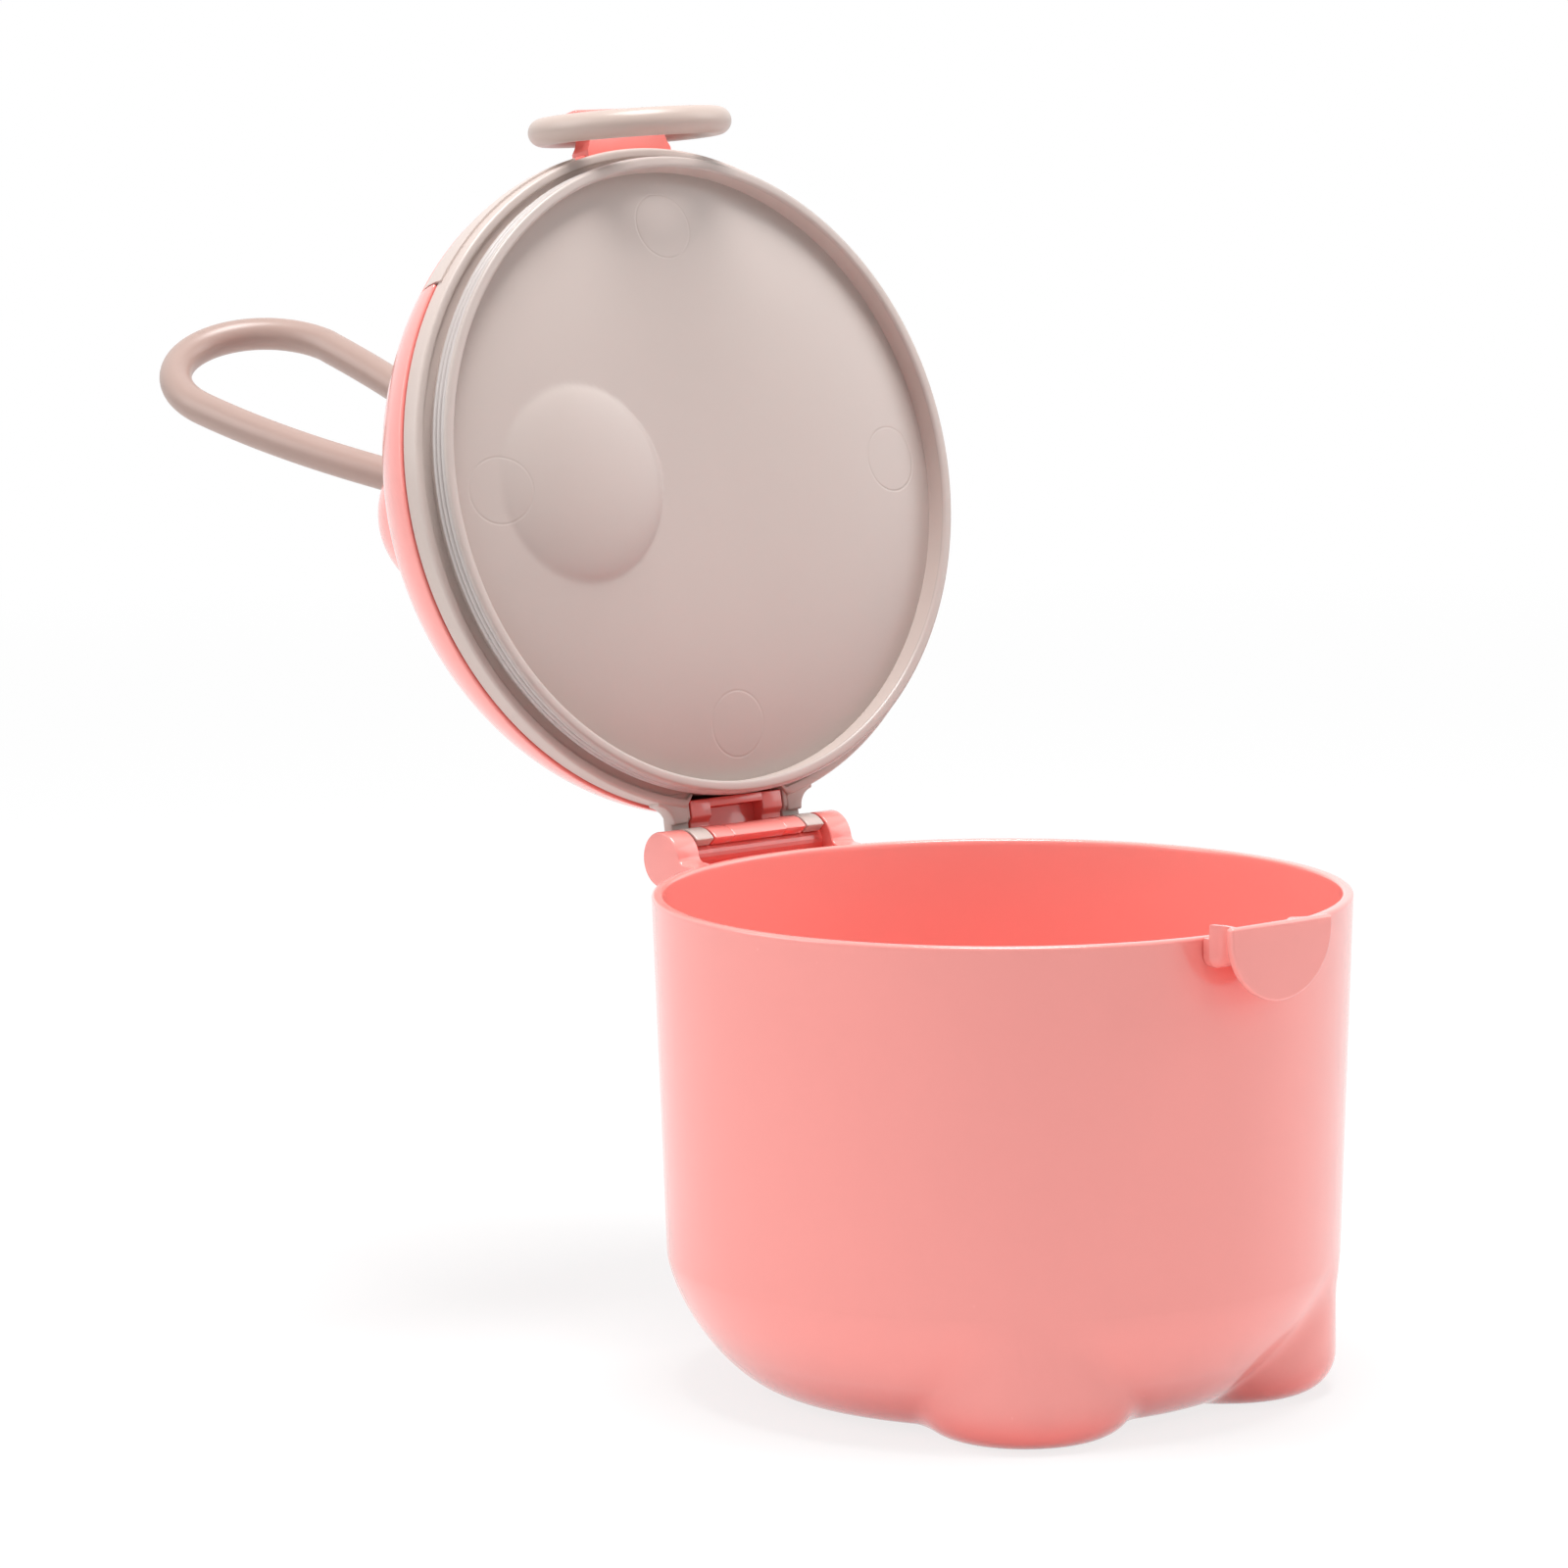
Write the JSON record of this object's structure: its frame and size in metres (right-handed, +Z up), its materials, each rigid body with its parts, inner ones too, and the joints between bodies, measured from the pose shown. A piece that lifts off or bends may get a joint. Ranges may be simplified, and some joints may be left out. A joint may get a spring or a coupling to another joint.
{
  "type": "formula dispenser",
  "caption": "Small round pot for milk powder on moulded feet, with a domed hinged lid, an inner seal, a latch ring at the front and a carry loop on top.",
  "frame": {"origin": "on the ground under the middle of the pot, at the flat pad it stands on", "axes": "+Z up, the hinge towards +Y and the latch towards -Y, +X along the hinge pin"},
  "size_m": [0.1014, 0.2376, 0.1812],
  "materials": {
    "pink_plastic": "smooth moulded gloss",
    "beige_plastic": "smooth moulded satin",
    "seal_silicone": "soft translucent silicone"
  },
  "bodies": {
    "base": {"pot": "pink_plastic", "hinge_pin": "pink_plastic"},
    "lid": {"lid_liner": "beige_plastic", "lid_seal": "seal_silicone", "lid_shell": "pink_plastic"},
    "ring": {"latch_ring": "beige_plastic"},
    "loop": {"carry_loop": "beige_plastic", "loop_retainer": "beige_plastic"}
  },
  "joints": [
    {"name": "lid_hinge", "type": "hinge", "parent": "base", "child": "lid", "pos_m": [0, 0.0565, 0.0707], "axis": [1, 0, 0], "range_deg": [0, 102.72]},
    {"name": "ring_rock", "type": "hinge", "parent": "lid", "child": "ring", "pos_m": [0, 0.08704, 0.1774], "axis": [-1, 0, 0], "range_deg": [0, 29]},
    {"name": "loop_swivel", "type": "hinge", "parent": "lid", "child": "loop", "pos_m": [0, 0.10493, 0.11769], "axis": [0, 0.9755, -0.2202], "continuous": true}
  ]
}
